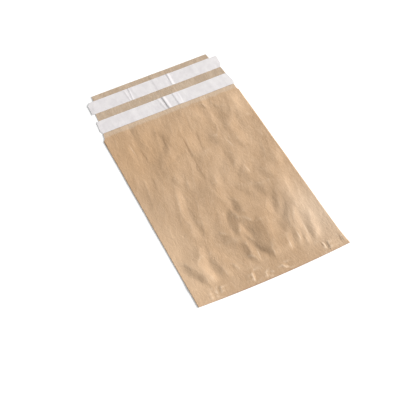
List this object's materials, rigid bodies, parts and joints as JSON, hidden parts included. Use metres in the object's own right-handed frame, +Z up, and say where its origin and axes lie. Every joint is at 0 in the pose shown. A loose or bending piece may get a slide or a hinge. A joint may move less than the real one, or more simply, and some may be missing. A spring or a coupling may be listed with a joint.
{
  "type": "paper mailing bag",
  "caption": "Flat kraft paper mailing bag, lying on its back with the flap open and white release liners over its adhesive bands.",
  "frame": {"origin": "on the table, under the middle of the opened bag's box", "axes": "+Y along the bag from its bottom edge to the end of the flap, +X across it, +Z up from the table through the front"},
  "size_m": [0.24, 0.4508, 0.004],
  "materials": {
    "kraft_paper": "uncoated brown kraft paper, soft crumples, matt with a faint sheen",
    "release_paper": "white siliconised paper, smooth with a low sheen",
    "adhesive": "clear hot melt adhesive, tacky"
  },
  "bodies": {
    "root": {"paper_bag": "kraft_paper", "lower_adhesive": "adhesive", "upper_adhesive": "adhesive", "lower_liner": "release_paper", "upper_liner": "release_paper"}
  },
  "joints": []
}
